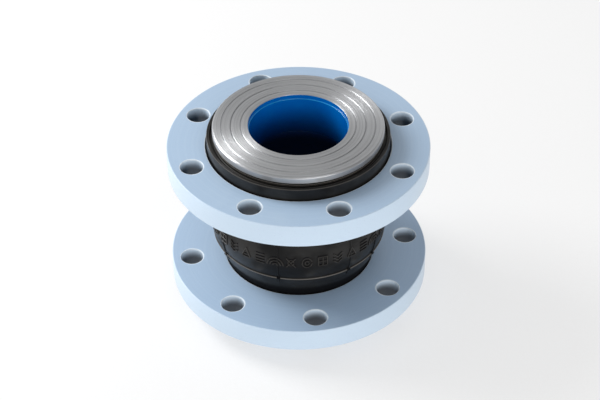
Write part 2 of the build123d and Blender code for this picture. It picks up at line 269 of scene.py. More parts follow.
def rounded(outline):
    """Closed outline of (x, y, rounding) with its corners rounded, and the mask of its edges.

    A support point past each cut keeps the flats flat.
    """
    path = np.array(outline, float)
    corner, size = path[:, :2], path[:, 2]
    sides = [np.roll(corner, 1, axis=0) - corner, np.roll(corner, -1, axis=0) - corner]
    spans = [np.linalg.norm(side, axis=1) for side in sides]
    cut = np.minimum(size, 0.45 * np.minimum(spans[0], spans[1]))
    support = cut + np.minimum(0.15 * cut, 0.04 * np.minimum(spans[0], spans[1]))
    near = [side / span[:, None] for side, span in zip(sides, spans)]
    start, stop = corner + near[0] * cut[:, None], corner + near[1] * cut[:, None]
    bend = bends(start, corner, stop)
    first = (corner + near[0] * support[:, None])[:, None]
    last = (corner + near[1] * support[:, None])[:, None]
    points = np.concatenate([first, bend, last], axis=1).reshape(-1, 2)
    mask = np.zeros((len(path), CORNER_STEPS + 2))
    # Tight corners carry the mask for the pale painted highlight.
    mask[:, 1:-1] = ((size > 0) & (size < WIDE_BEND))[:, None]
    mask = mask.reshape(-1)
    apart = np.linalg.norm(points - np.roll(points, 1, axis=0), axis=1) > 2 * WELD
    return points[apart], mask[apart]


def at_end(outline, end):
    """(radius, depth, ...) rows as (radius, height, ...) at the lower or the upper end."""
    rows = np.array(outline, float)
    if end == "upper":
        rows[:, 1] = FACE_Z - rows[:, 1]
    return rows


def revolve(section, mask, angles):
    """Open section of (radius, height) turned through the angles.

    U is the share of a full turn and V the length along the section over one turn's mean length.
    """
    run = np.r_[0, np.cumsum(np.linalg.norm(np.diff(section, axis=0), axis=1))]
    turn = 2 * pi * section[:, 0].mean()
    u, v = np.meshgrid(angles / (2 * pi), run / turn)
    points = polar(section[:, :1], angles, section[:, 1:])
    return Patch(points, u, v, np.broadcast_to(mask[:, None], u.shape))


def lathe(section, mask, columns):
    """Closed section turned about Z, with its faces outwards."""
    r, z = section.T
    area = np.sum(r * np.roll(z, -1) - z * np.roll(r, -1))
    if area < 0:
        section, mask = section[::-1], mask[::-1]
    closed = np.concatenate([section, section[:1]])
    return revolve(closed, np.r_[mask, mask[:1]], np.linspace(0, 2 * pi, columns + 1))


def cells(rows, columns, start):
    """The four corners of each cell of a grid whose points are numbered row by row from start."""
    i = start + np.arange(rows * columns).reshape(rows, columns)
    return np.stack([i[:-1, :-1], i[:-1, 1:], i[1:, 1:], i[1:, :-1]], axis=-1).reshape(-1, 4)


def put_mesh(name, patches):
    """One smooth object from patches: equal points welded, collapsed corners dropped, faces out."""
    shapes = [patch.points.shape for patch in patches]
    starts = np.cumsum([0] + [rows * columns for rows, columns, _ in shapes])
    corners = np.concatenate([cells(s[0], s[1], start) for s, start in zip(shapes, starts)])
    points = np.concatenate([patch.points.reshape(-1, 3) for patch in patches])
    uv = np.concatenate([patch.uv.reshape(-1, 2) for patch in patches])[corners]
    edge = np.concatenate([patch.edge.reshape(-1) for patch in patches])
    keys = np.round(points / WELD).astype(np.int64)
    _, first, group = np.unique(keys, axis=0, return_index=True, return_inverse=True)
    faces = group.reshape(-1)[corners]
    keep = faces != np.roll(faces, -1, axis=1)
    whole = keep.sum(axis=1) >= 3
    faces, keep, uv = faces[whole], keep[whole], uv[whole]
    points, edge = points[first], edge[first]
    a, b, c, d = (points[faces[:, k]] for k in range(4))
    volume = np.sum(a * (np.cross(b, c) + np.cross(c, d)))
    if volume < 0:
        faces, keep, uv = faces[:, ::-1], keep[:, ::-1], uv[:, ::-1]
        keep = faces != np.roll(faces, -1, axis=1)
    sizes = keep.sum(axis=1)
    mesh = bpy.data.meshes.new(name)
    mesh.vertices.add(len(points))
    mesh.vertices.foreach_set("co", points.astype(np.float32).ravel())
    mesh.loops.add(int(sizes.sum()))
    mesh.loops.foreach_set("vertex_index", faces[keep].astype(np.int32))
    mesh.polygons.add(len(faces))
    mesh.polygons.foreach_set("loop_start", np.r_[0, np.cumsum(sizes)[:-1]].astype(np.int32))
    mesh.uv_layers.new(name="UVMap").data.foreach_set("uv", uv[keep].astype(np.float32).ravel())
    mesh.attributes.new("edge", "FLOAT", "POINT").data.foreach_set("value", edge.astype(np.float32))
    mesh.update(calc_edges=True)
    mesh.validate()
    mesh.shade_smooth()
    mesh.set_sharp_from_angle(angle=SMOOTH_ANGLE)
    piece = bpy.data.objects.new(name, mesh)
    bpy.context.scene.collection.objects.link(piece)
    return piece


def fit(piece, body, slot, finish, *nodes):
    """The piece takes its finish, stands for its CAD nodes and rides on its body."""
    piece.data.materials.append(finish)
    if nodes:
        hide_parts(*nodes)
    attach(piece, body)
    return piece


def follow_both_ends(piece):
    """A wall piece rides on the lower end and is drawn towards the upper end by a hook.

    The hook's weight is a smooth step of height, 0 up to the lower neck and 1 from the upper neck,
    so the arch bends and stretches between the two ends and never tears.
    """
    points = np.zeros(len(piece.data.vertices) * 3, np.float32)
    piece.data.vertices.foreach_get("co", points)
    low = JOINT.end.sleeve_depth + HELD_NECK
    t = np.clip((points[2::3] - low) / (FACE_Z - 2 * low), 0, 1)
    weight = np.round(t * t * (3 - 2 * t), 3)
    group = piece.vertex_groups.new(name="toward_upper_end")
    for level in np.unique(weight[weight > 0]):
        group.add(np.flatnonzero(weight == level).tolist(), float(level), "REPLACE")
    hook = piece.modifiers.new("follow_upper_end", "HOOK")
    hook.object = frame["bodies"]["upper_end"]
    hook.vertex_group = group.name
    hook.matrix_inverse = Matrix.Identity(4)


class Joint:
    """The settings of the scene, by group: end, wall, flange, colours or stage."""

    def __getattr__(self, group):
        return getattr(bpy.context.scene, f"joint_{group}")


JOINT = Joint()


# ---- shader nodes ----
class Number:
    """A number that flows between shader nodes, with arithmetic."""

    def __init__(self, finish, socket):
        self.finish = finish
        self.socket = socket

    def maths(self, operation, first, second=0.0):
        sockets = {0: first, 1: second}
        return self.finish.number("ShaderNodeMath", {"operation": operation}, sockets)

    def __add__(self, other):
        return self.maths("ADD", self, other)

    def __sub__(self, other):
        return self.maths("SUBTRACT", self, other)

    def __rsub__(self, other):
        return self.maths("SUBTRACT", other, self)

    def __mul__(self, other):
        return self.maths("MULTIPLY", self, other)

    __radd__ = __add__
    __rmul__ = __mul__

    def __pow__(self, other):
        return self.maths("POWER", self, other)

    def wave(self):
        return self.maths("SINE", self)

    def size(self):
        return self.maths("ABSOLUTE", self)

    def above(self, level):
        return self.maths("GREATER_THAN", self, level)

    def between(self, low, high):
        """0 below low, 1 above high, and a smooth step between them."""
        limits = {"Value": self, "From Min": low, "From Max": high}
        settings = {"interpolation_type": "SMOOTHSTEP"}
        return self.finish.number("ShaderNodeMapRange", settings, limits)


class Finish:
    """One material, or the world: its shader and the nodes that feed it."""

    def __init__(self, owner, shader="Principled BSDF"):
        self.owner = bpy.data.materials.new(owner) if isinstance(owner, str) else owner
        self.owner.use_nodes = True
        self.tree = self.owner.node_tree
        self.shader = self.tree.nodes[shader]
        self.coords = self.add("ShaderNodeTexCoord", {}, {})

    def feed(self, node, sockets):
        for key, value in sockets.items():
            if isinstance(value, Number):
                value = value.socket
            if isinstance(value, bpy.types.NodeSocket):
                self.tree.links.new(value, node.inputs[key])
            else:
                node.inputs[key].default_value = value

    def add(self, kind, settings, sockets):
        """A node of this kind, with its settings first and then its sockets."""
        node = self.tree.nodes.new(kind)
        for key, value in settings.items():
            setattr(node, key, value)
        self.feed(node, sockets)
        return node

    def number(self, kind, settings, sockets, output=0):
        return Number(self, self.add(kind, settings, sockets).outputs[output])

    @property
    def place(self):
        return self.coords.outputs["Object"]

    def axis(self, letter, source=None):
        """One coordinate of the place on the object, or of another vector."""
        parts = self.add("ShaderNodeSeparateXYZ", {}, {"Vector": source or self.place})
        return Number(self, parts.outputs[letter])

    def uv(self):
        """The piece's own U, a share of a turn, and V in the same measure."""
        return self.axis("X", self.coords.outputs["UV"]), self.axis("Y", self.coords.outputs["UV"])

    def stripes(self, across, along):
        """A sine from -1 to 1, with so many waves in a unit of U and of V."""
        u, v = self.uv()
        return (2 * pi * (across * u + along * v)).wave()

    def radius(self):
        """Distance from the pipe axis."""
        return (self.axis("X") ** 2 + self.axis("Y") ** 2) ** 0.5

    def upright(self):
        """1 on the walls of a piece and 0 on its level faces."""
        facing = self.add("ShaderNodeNewGeometry", {}, {}).outputs["Normal"]
        return 1 - self.axis("Z", facing).size().between(0.2, 0.8)

    def edge(self):
        """1 on the rounded edges of a piece."""
        return self.number("ShaderNodeAttribute", {"attribute_name": "edge"}, {}, "Fac")

    def noise(self, scale, detail=2.0, place=None, roughness=0.5):
        sockets = {"Vector": place or self.place, "Scale": scale, "Detail": detail}
        sockets["Roughness"] = roughness
        return self.number("ShaderNodeTexNoise", {}, sockets, "Fac")

    def noise_along(self, number, scale, detail=2.0):
        """Noise that changes only with one number, such as the radius."""
        sockets = {"W": number, "Scale": scale, "Detail": detail}
        return self.number("ShaderNodeTexNoise", {"noise_dimensions": "1D"}, sockets, "Fac")

    def blend(self, share, first, second):
        """Colour from first to second as share goes from 0 to 1."""
        colours = [c if isinstance(c, bpy.types.NodeSocket) else (*c, 1) for c in (first, second)]
        sockets = {0: share, 6: colours[0], 7: colours[1]}
        return self.add("ShaderNodeMix", {"data_type": "RGBA"}, sockets).outputs[2]

    def layers(self, base, *rows):
        """The base colour, painted over by each row of (share, colour) in turn."""
        for share, paint in rows:
            base = self.blend(share, base, paint)
        return base

    def bump(self, height, distance, below=None):
        sockets = {"Height": height, "Distance": distance, "Strength": 1.0}
        if below is not None:
            sockets["Normal"] = below
        return self.add("ShaderNodeBump", {}, sockets).outputs["Normal"]

    def done(self, **sockets):
        """Shader sockets by name, underscores for spaces. Returns the material or the world."""
        self.feed(self.shader, {key.replace("_", " "): value for key, value in sockets.items()})
        return self.owner


@cache
def flange_coating():
    """Pale blue-grey powder coat: orange peel, faint tooling under it, and edges made bright by thin
    coating and a painted highlight. The outer rim is painted paler as a highlight.

    The walls of the bolt holes are painted with shade that deepens below their mouths, which carry a
    painted highlight.
    """
    f, p, c = Finish("flange_coating"), JOINT.flange, JOINT.colours
    cloud = f.noise(14, 3)
    smear = f.noise(11, 4, roughness=0.6).between(0.56, 0.74)
    tool = f.noise_along(f.radius() + f.axis("Z") * 1.7, 420, 3)
    speck = f.noise(900, 1).between(0.66, 0.72)
    rim = f.radius().between(p.radius - 0.002, p.radius - 0.001)
    hole = f.upright() * f.radius().between(p.recess + 0.0023, p.recess + 0.0043) * (1 - rim)
    height = f.axis("Z")
    top = p.back + height.above(FACE_Z / 2) * (FACE_Z - p.face - p.back)
    base = f.layers(
        c.coating,
        (cloud.between(0.3, 0.7) * 0.10, c.coating_cloud),
        (tool.between(0.35, 0.75) * 0.10, c.coating_thin),
        (smear * 0.16, c.coating_thin),
        # Painted highlight: the outer rim is painted paler.
        (f.upright() * rim * 0.55, c.coating_thin),
        # Painted light on the bolt hole walls near their mouths, then painted shade that deepens down
        # to 12 mm.
        (hole * 0.95, c.hole_top),
        (hole * (top - height).between(0.0, 0.012), c.hole_deep),
        # Edges paler from thin coating and a painted highlight.
        (f.edge() * (0.35 + 0.5 * cloud), c.coating_thin),
        # Painted highlight on the mouths of the bolt holes.
        (f.edge() * (1 - rim) * 0.8, c.hole_edge),
        (speck * 0.12, (0.22, 0.30, 0.40)),
    )
    lines = f.bump(tool, 0.00003, f.bump(f.noise(420, 2), 0.00005))
    rough = 0.36 + 0.10 * f.noise(60, 2) + 0.05 * tool
    return f.done(
        Base_Color=base, Roughness=rough, Normal=lines, Coat_Weight=0.25, Coat_Roughness=0.25
    )


@cache
def turned_steel():
    """Stainless steel fresh from the lathe: fine rings of tool marks and a soft satin."""
    f, c = Finish("turned_stainless"), JOINT.colours
    fine = f.noise_along(f.radius(), 1700, 3)
    broad = f.noise_along(f.radius(), 420, 3)
    smear = f.noise(34, 3)
    base = f.layers(
        c.steel,
        (broad.between(0.3, 0.7) * 0.5, c.steel_dark),
        (fine.between(0.5, 0.75) * 0.30, (0.80, 0.80, 0.80)),
        (smear.between(0.45, 0.8) * 0.12, (0.36, 0.36, 0.38)),
    )
    rough = 0.30 + 0.10 * fine + 0.06 * smear
    return f.done(
        Base_Color=base, Roughness=rough, Metallic=1.0, Normal=f.bump(fine + 0.6 * broad, 0.00025),
        Anisotropic=0.75, Anisotropic_Rotation=0.25,
    )


def bore_shade_share(f, full_depth):
    """Share of painted shade in the bore: 0 near both mouths and 1 from this depth inwards."""
    depth = FACE_Z / 2 - (f.axis("Z") - FACE_Z / 2).size()
    return depth.between(0.010, full_depth)


@cache
def throat_coating():
    """Glossy deep blue coating with slight sags, a painted highlight on its edges and navy painted
    shade far inside.
    """
    f, c = Finish("blue_throat_coating"), JOINT.colours
    sag = f.noise(55, 2)
    inside_shade = bore_shade_share(f, 0.054)
    base = f.layers(
        c.throat,
        (sag.between(0.35, 0.7) * 0.25, (0.0, 0.20, 0.62)),
        # Painted shade: navy deeper in the bore.
        (inside_shade, c.deep),
        # Painted highlight on the sleeve's rounded mouth.
        (f.edge() * (1 - inside_shade) * 0.55, (0.01, 0.40, 0.62)),
    )
    rough = 0.16 + 0.10 * f.noise(120, 2)
    return f.done(
        Base_Color=base, Roughness=rough, Normal=f.bump(sag + 0.2 * f.noise(500, 1), 0.00012),
        Coat_Weight=0.5, Coat_Roughness=0.08,
    )


@cache
def bore_rubber():
    """Rubber of the tube, coating blue next to the sleeves, darkening inwards to navy painted shade."""
    f, c = Finish("bore_rubber"), JOINT.colours
    grain = f.noise(420, 3)
    stain = (grain.between(0.4, 0.8) * 0.3, (0.0, 0.006, 0.02))
    # Painted shade: the blue darkens inwards to navy; the grain adds a random stain.
    base = f.layers(c.throat, (bore_shade_share(f, 0.066), c.deep), stain)
    rough = 0.45 + 0.15 * f.noise(40, 2)
    return f.done(
        Base_Color=base, Roughness=rough, Normal=f.bump(grain, 0.00004), Specular_IOR_Level=0.02
    )


@cache
def cover_rubber(name="cover_rubber", bloom=0.5, worn=1.0, gloss=0.10, dull=1.0):
    """Black moulded rubber: satin skin, brownish bloom, fine scuffs, and crests painted paler: a
    painted highlight, with some wear.

    The waist of the arch is polished in patches. The last argument makes the necks dull and darkens
    them with painted shade next to the flanges.
    """
    f, c = Finish(name), JOINT.colours
    cloud = f.noise(26, 4)
    stretch = f.add("ShaderNodeMapping", {}, {"Vector": f.place, "Scale": (60, 60, 900)})
    scuff = f.noise(1, 2, stretch.outputs["Vector"]).between(0.56, 0.74)
    above = (f.axis("Z") - FACE_Z / 2).size()
    neck = above.between(0.038, 0.046) * dull
    waist = 1 - above.between(0.026, 0.044) * dull
    base = f.layers(
        c.rubber,
        (cloud.between(0.3, 0.75) * bloom, c.bloom),
        (scuff * cloud.between(0.4, 0.6) * 0.6, (0.030, 0.029, 0.027)),
        # Painted highlight on crests, with some wear.
        (f.edge() * worn, c.worn),
        # Painted shade: the necks darken next to the flanges.
        (neck * 0.85, (0.002, 0.002, 0.003)),
    )
    rough = 0.30 + 0.16 * cloud + 0.10 * scuff + 0.40 * neck
    skin = f.bump(f.noise(1500, 2) + 0.5 * f.noise(260, 2), 0.00003)
    return f.done(
        Base_Color=base, Roughness=rough, Normal=skin, Specular_IOR_Level=gloss,
        Coat_Weight=waist * (0.03 + 0.32 * cloud.between(0.40, 0.62)), Coat_Roughness=0.22,
    )


@cache
def inner_rubber():
    """Matte black rubber with a fine speckle of talc."""
    f = Finish("inner_rubber")
    talc = f.noise(1300, 2).between(0.62, 0.75)
    base = f.blend(talc * 0.35, JOINT.colours.tube, (0.10, 0.10, 0.10))
    rough = 0.62 + 0.15 * f.noise(40, 2)
    return f.done(Base_Color=base, Roughness=rough, Normal=f.bump(f.noise(500, 3), 0.00004))


@cache
def cord_ply(name, lean):
    """Bias-cut nylon cord in rubber: parallel cords that lean one way, crossed by thin wefts."""
    f, c = Finish(name), JOINT.colours
    cord = f.stripes(180, 180 * lean)
    weft = f.stripes(40, -40 * lean)
    twist = f.stripes(700, -900 * lean)
    shown = cord.between(-0.35, 0.35)
    body = f.blend(0.5 + 0.5 * twist, c.cord, (0.40, 0.32, 0.20))
    base = f.layers(c.tube, (shown, body), (weft.between(0.93, 0.99) * 0.8, (0.66, 0.60, 0.48)))
    height = f.bump(cord + 0.15 * twist, 0.0002)
    return f.done(Base_Color=base, Roughness=0.82 - 0.18 * shown, Normal=height)


@cache
def bead_wire():
    """Drawn spring wire with a thin brass wash and dark draw marks."""
    f = Finish("brass_washed_wire")
    streak = f.noise_along(f.uv()[1] + 0.002 * f.noise(40, 1), 900, 2)
    worn = f.noise(90, 3).between(0.5, 0.72)
    base = f.blend(worn * 0.6, JOINT.colours.wire, (0.50, 0.49, 0.47))
    rough = 0.26 + 0.22 * streak
    return f.done(Base_Color=base, Roughness=rough, Metallic=1.0, Normal=f.bump(streak, 0.00002))


@cache
def bead_tape():
    """Rubbered cotton tape wound on the slant around the wires."""
    f = Finish("wound_tape")
    lap = f.stripes(64, 0.5)
    weave = f.stripes(1400, 0) * f.stripes(0, 1400)
    base = f.layers(
        JOINT.colours.tape,
        (lap.between(0.8, 0.98), (0.06, 0.055, 0.05)),
        (weave.between(-0.2, 0.6) * 0.35, (0.14, 0.125, 0.10)),
    )
    rough = 0.78 + 0.1 * weave
    return f.done(Base_Color=base, Roughness=rough, Normal=f.bump(lap + 0.3 * weave, 0.0001))


# ---- sections at the ends ----
def ring_section():
    """Face ring: grooves in its face, a bevelled rim and a lip over the sleeve."""
    s = JOINT.end
    half, deep, blunt = s.groove_width / 2, s.groove_depth, 0.0003
    path = [(s.lip_radius, 0, 0.0004)]
    for k in range(3):
        r = s.groove_first + k * s.groove_pitch
        path += [(r - half, 0, blunt), (r - half * 0.35, deep, blunt)]
        path += [(r + half * 0.35, deep, blunt), (r + half, 0, blunt)]
    path += [(s.ring_radius - s.ring_bevel, 0, 0.0004), (s.ring_radius, s.ring_bevel, 0.0005)]
    path += [(s.ring_radius, s.ring_thick, 0.0002), (s.sleeve_collar, s.ring_thick, 0)]
    path += [(s.sleeve_collar, s.lip_depth, 0), (s.lip_radius, s.lip_depth, 0.0002)]
    return path


def sleeve_section():
    """Throat sleeve: a flat collar, a rounded mouth, a plain tube and its coating up the ring's lip."""
    s = JOINT.end
    outer = s.sleeve_bore + s.sleeve_wall
    skin, root = s.lip_radius - s.coat / 2, s.lip_radius + s.coat / 2
    path = [(s.sleeve_bore, s.lip_depth, 0.0009), (skin, s.lip_depth, 0.0001)]
    path += [(skin, s.coat_depth, 0.0001), (root, s.coat_depth, 0), (root, s.lip_depth, 0)]
    path += [(s.sleeve_collar, s.lip_depth, 0)]
    path += [(s.sleeve_collar, s.ring_thick, 0), (outer, s.ring_thick, 0)]
    path += [(outer, s.sleeve_depth, 0.0004), (s.sleeve_bore, s.sleeve_depth, 0.0002)]
    return path


def pad_section():
    """Rubber washer under the face ring, with a small bead around its edge."""
    s = JOINT.end
    inner, rim, bead = s.sleeve_bore + s.sleeve_wall, s.pad_radius, s.pad_radius + s.pad_bead
    middle = (s.ring_thick + s.pad_depth) / 2
    path = [(inner, s.ring_thick, 0), (rim, s.ring_thick, 0.0004), (rim, middle - 0.0004, 0)]
    path += [(bead, middle, 0.0003), (bead, middle + 0.0006, 0.0003)]
    path += [(rim, middle + 0.001, 0), (rim, s.pad_depth, 0.0002), (inner, s.pad_depth, 0)]
    return path


def heel(radius):
    """Depth of the conical heel at a radius."""
    s = JOINT.end
    return s.heel_depth + (s.collar_radius - radius) * s.heel_slope


def fold(neck, gap=0.0):
    """Section of the fold around a bead, from its turned end to the neck, widened by a gap."""
    w = JOINT.wall
    outer = w.fold_out + w.fold_in - neck + gap
    crest = w.fold_depth - (w.fold_in - neck) - gap
    path = [(outer, w.ply_end, 0), (outer, w.fold_depth, FOLD_BEND)]
    path += [(w.fold_out, crest, FOLD_BEND), (w.fold_in, crest, FOLD_BEND)]
    return path + [(neck + gap, w.fold_depth, FOLD_BEND)]


def collar_section():
    """Rubber collar: trough, crest, outside, heel and neck around the folded plies."""
    s, w = JOINT.end, JOINT.wall
    neck, skin = w.neck_tube + PLY_GAP, boundaries()[-2][0] + PLY_GAP
    stop = s.sleeve_depth - PLY_GAP
    r, top = s.collar_radius, s.collar_top
    path = [(neck, s.pad_depth, 0), (s.pad_radius, s.pad_depth, 0.0002)]
    path += [(s.pad_radius + 0.0006, s.trough_depth, 0.0006)]
    path += [(r - s.crest_foot, s.trough_depth, 0.0007), (r - s.crest_width, top, 0.0005)]
    path += [(r, top, 0.0006), (r, heel(r), 0.0012)]
    path += [(w.neck_cover, heel(w.neck_cover), 0.0015), (w.neck_cover, stop, 0)]
    path += [(skin, stop, 0), (skin, w.ply_end, 0)]
    return path + fold(w.neck_tube, PLY_GAP)


def core_spot(end):
    """Centre of the wire bundle in the section plane."""
    radius = CORE_HIGH.x - (CORE_HIGH.z - CORE_LOW.z) / 2
    depth = FACE_Z - (CORE_HIGH.z + CORE_LOW.z) / 2
    return at_end([(radius, depth)], end)[0]


def turned_wires(end):
    """Seven wires: one straight, six wound about it.

    A wire's centre stands off the bundle's centre by the pitch, at an angle that grows with the
    turn around the pipe, and each wire is a circle carried along that line.
    """
    reach, columns, sides, lays = (CORE_HIGH.z - CORE_LOW.z) / 2, 216, 11, 9
    wire = reach / 3.042
    pitch = reach - wire
    spot = core_spot(end)
    turn = np.linspace(0, 2 * pi, columns + 1)
    around = np.linspace(0, 2 * pi, sides)
    patches = []
    for k in range(7):
        stand = pitch * min(k, 1)
        lay = lays * turn + k * pi / 3
        r = spot[0] + stand * np.cos(lay) + wire * np.cos(around)[:, None]
        z = spot[1] + stand * np.sin(lay) + wire * np.sin(around)[:, None]
        u, v = np.meshgrid(turn / (2 * pi), around / (2 * pi))
        patches.append(Patch(polar(r, turn, z), u, v, 0 * u))
    return patches


def hoop(spot, radius, inward=False):
    """A round hoop about the pipe axis, with its faces outwards or, as a hollow, inwards."""
    section = ring_line(radius, spot, steps=HOOP_SIDES + 1)[:-1]
    patch = lathe(section, np.zeros(HOOP_SIDES), TUBE_COLUMNS)
    if inward:
        patch.points, patch.uv = patch.points[::-1], patch.uv[::-1]
    return patch


# ---- wall layers ----
def arch(neck, crown, heights):
    """Wall radius at each height: neck + (crown - neck) cos(share of the reach)^1.2."""
    middle = FACE_Z / 2
    share = np.clip(np.abs(heights - middle) / (middle - JOINT.end.sleeve_depth), 0, 1)
    return neck + (crown - neck) * np.cos(share * pi / 2) ** 1.2


def wall_line(boundary, heights):
    """(radius, height) rows along a boundary of (neck, crown)."""
    return np.stack([arch(*boundary, heights), heights], axis=-1)


def boundaries():
    """(neck, crown) radii of the eight wall boundaries, from the bore outwards."""
    w = JOINT.wall
    rows = [(w.neck_inner, w.crown_inner), (w.neck_tube, w.crown_tube)]
    plies = [(w.ply, w.ply)] * 2
    for neck, crown in plies + [(w.neck_middle, w.crown_middle)] + plies:
        rows.append((rows[-1][0] + neck, rows[-1][1] + crown))
    return rows + [(w.neck_cover, w.crown_cover)]


def folded_layer(inside, outside):
    """Closed section of a layer between two boundaries, folded around both beads."""
    low = JOINT.end.sleeve_depth
    heights = np.linspace(low, FACE_Z - low, WALL_STEPS)[1:-1]
    sides = []
    for boundary in (inside, outside):
        ends = [leg(boundary[0], end) for end in ENDS]
        sides.append(np.concatenate([ends[0], wall_line(boundary, heights), ends[1][::-1]]))
    section = np.concatenate([sides[0], sides[1][::-1]])
    return section, np.zeros(len(section))


def leg(neck, end):
    """The fold's points in order from the turned leg's end to the neck."""
    line = np.array([row[:2] for row in fold(neck)] + [(neck, JOINT.end.sleeve_depth)])
    corner = line[1:-1]
    before = corner + unit(line[:-2] - corner) * FOLD_BEND
    after = corner + unit(line[2:] - corner) * FOLD_BEND
    bend = bends(before, corner, after).reshape(-1, 2)
    return at_end(np.concatenate([line[:1], bend, line[-1:]]), end)


def unit(rows):
    """Each row scaled to length 1."""
    return rows / np.linalg.norm(rows, axis=1, keepdims=True)


def tube_section():
    """Inner tube: straight necks up to the seal pads and the arch between them."""
    low, stop = JOINT.end.sleeve_depth, JOINT.end.pad_depth
    heights = np.r_[stop, np.linspace(low, FACE_Z - low, WALL_STEPS), FACE_Z - stop]
    inside, outside = [wall_line(boundary, heights) for boundary in boundaries()[:2]]
    section = np.concatenate([inside, outside[::-1]])
    return section, np.zeros(len(section))


def ridge_share(heights):
    """Round mould ridges: sqrt(1 - x^2), with x the distance from a ridge over its radius."""
    w = JOINT.wall
    off = np.abs(np.abs(heights - FACE_Z / 2) - w.ridge_offset) / w.ridge_radius
    return np.sqrt(np.clip(1 - off**2, 0, 1))


def cover_radius(heights):
    """Outside of the cover: the arch and its two mould ridges."""
    w = JOINT.wall
    return arch(w.neck_cover, w.crown_cover, heights) + w.ridge_radius * ridge_share(heights)


def cover_section():
    """Outer cover between the outermost ply and the air, with its ridges in the outline."""
    w = JOINT.wall
    low = JOINT.end.sleeve_depth
    swell = w.ridge_radius * np.sin(np.linspace(-pi / 2, pi / 2, 13))
    ridges = [FACE_Z / 2 + side * w.ridge_offset + swell for side in (-1, 1)]
    heights = np.unique(np.r_[np.linspace(low, FACE_Z - low, 121), *ridges].round(7))
    outside = np.stack([cover_radius(heights), heights], axis=-1)
    plain = np.linspace(low, FACE_Z - low, WALL_STEPS)
    inside = wall_line(boundaries()[-2], plain)
    # The ridge crests carry the mask for the pale painted highlight.
    mask = np.r_[ridge_share(heights), 0 * plain]
    return np.concatenate([outside, inside[::-1]]), mask


def wall_piece(name, section, slot, finish, node, columns=TUBE_COLUMNS):
    """One layer of the wall, turned, dressed and hooked to both ends."""
    piece = put_mesh(name, [lathe(*section, columns)])
    fit(piece, "lower_end", slot, finish, node)
    follow_both_ends(piece)
    return piece


# ---- raised detail on the cover ----
def stroke(line, start_angle, half, height):
    """A raised stroke with round sides and ends along a line of (sideways, up) on the cover.

    The line is resampled evenly; at each point an oval of the half width and the height is set
    across it, shrunk to nothing at the two ends, and wrapped on the cover at the given angle. The
    crest of the side that looks down and to the right gets the mask for a pale painted highlight, with
    some wear.
    """
    line = np.array(line, float)
    run = np.r_[0, np.cumsum(np.linalg.norm(np.diff(line, axis=0), axis=1))]
    steps = max(14, int(run[-1] / STROKE_STEP))
    at = np.linspace(0, run[-1], steps)
    path = np.stack([np.interp(at, run, line[:, k]) for k in (0, 1)], axis=-1)
    across = unit(np.gradient(path, axis=0))[:, ::-1] * (-1, 1)
    ends = np.clip(np.minimum(at, run[-1] - at) / half, 0, 1)
    swell = np.sqrt(1 - (1 - ends) ** 2)[:, None]
    around = np.linspace(0, 2 * pi, 11)
    spread = path[:, None] + across[:, None] * (half * np.cos(around) * swell)[..., None]
    lift = height * np.sin(around) * swell
    z = FACE_Z / 2 + spread[..., 1]
    turn = start_angle + spread[..., 0] / JOINT.wall.crown_cover
    points = polar(cover_radius(z) + lift, turn, z)
    u, v = np.meshgrid(around / (2 * pi), at / run[-1])
    # Painted highlight: the crest's side that looks down and to the right is painted paler.
    lower_side = 0.5 + 0.5 * (across @ (0.6, -0.8))[:, None] * np.cos(around)
    worn = np.clip(np.sin(around), 0, 1) * swell * lower_side
    return Patch(points, u, v, worn)


def ring_line(radius, middle=(0, 0), turns=1.0, steps=33):
    """Points of a circle, or of the first part of one."""
    a = 2 * pi * turns * np.linspace(0, 1, steps)
    return np.stack([middle[0] + radius * np.cos(a), middle[1] + radius * np.sin(a)], axis=-1)


def mark_motifs():
    """Plain geometric motifs on a unit square: rings, bars, chevrons, arcs and lattices."""
    box = [(-0.8, -0.8), (0.8, -0.8), (0.8, 0.8), (-0.8, 0.8), (-0.8, -0.8)]
    peak = [(-0.9, -0.7), (0.0, 0.9), (0.9, -0.7), (-0.9, -0.7)]
    return [
        [ring_line(0.85), ring_line(0.35)],
        [box, [(-0.8, 0), (0.8, 0)], [(0, -0.8), (0, 0.8)]],
        [[(-0.9, 0.8), (0, 0.2), (0.9, 0.8)], [(-0.9, 0.2), (0, -0.4), (0.9, 0.2)],
         [(-0.9, -0.4), (0, -1.0), (0.9, -0.4)]],
        [peak, [(-0.45, -0.2), (0.45, -0.2)]],
        [[(-0.9, y), (0.9, y)] for y in (-0.8, -0.27, 0.27, 0.8)],
        [ring_line(r, (0, -0.8), 0.5) for r in (0.45, 0.95, 1.45)],
        [[(-0.9, -0.9), (0.9, 0.9)], [(-0.9, 0.9), (0.9, -0.9)], ring_line(0.5)],
    ]


def mark_patches():
    """The band of raised marks around the front of the cover."""
    w, motifs = JOINT.wall, mark_motifs()
    patches = []
    for k in range(w.marks):
        middle = w.mark_first + (k + 0.5) * w.mark_pitch
        for line in motifs[k % len(motifs)]:
            scaled = np.array(line, float) * (w.mark_wide, w.mark_tall)
            patches.append(stroke(scaled, middle, w.mark_half, w.mark_height))
    return patches


def seam_patches():
    """Mould seams across both ridges, each with a nub of flash on either ridge."""
    w = JOINT.wall
    reach, wide = w.ridge_offset + w.seam_reach, 1.5 * w.nub
    line = np.stack([np.zeros(40), np.linspace(-reach, reach, 40)], axis=-1)
    patches = []
    for turn in np.radians(SEAM_DEGREES):
        patches.append(stroke(line, turn, w.seam_width, w.seam_height))
        for side in (-1, 1):
            height = side * w.ridge_offset
            patches.append(stroke([(-wide, height), (wide, height)], turn, w.nub, w.nub))
    return patches


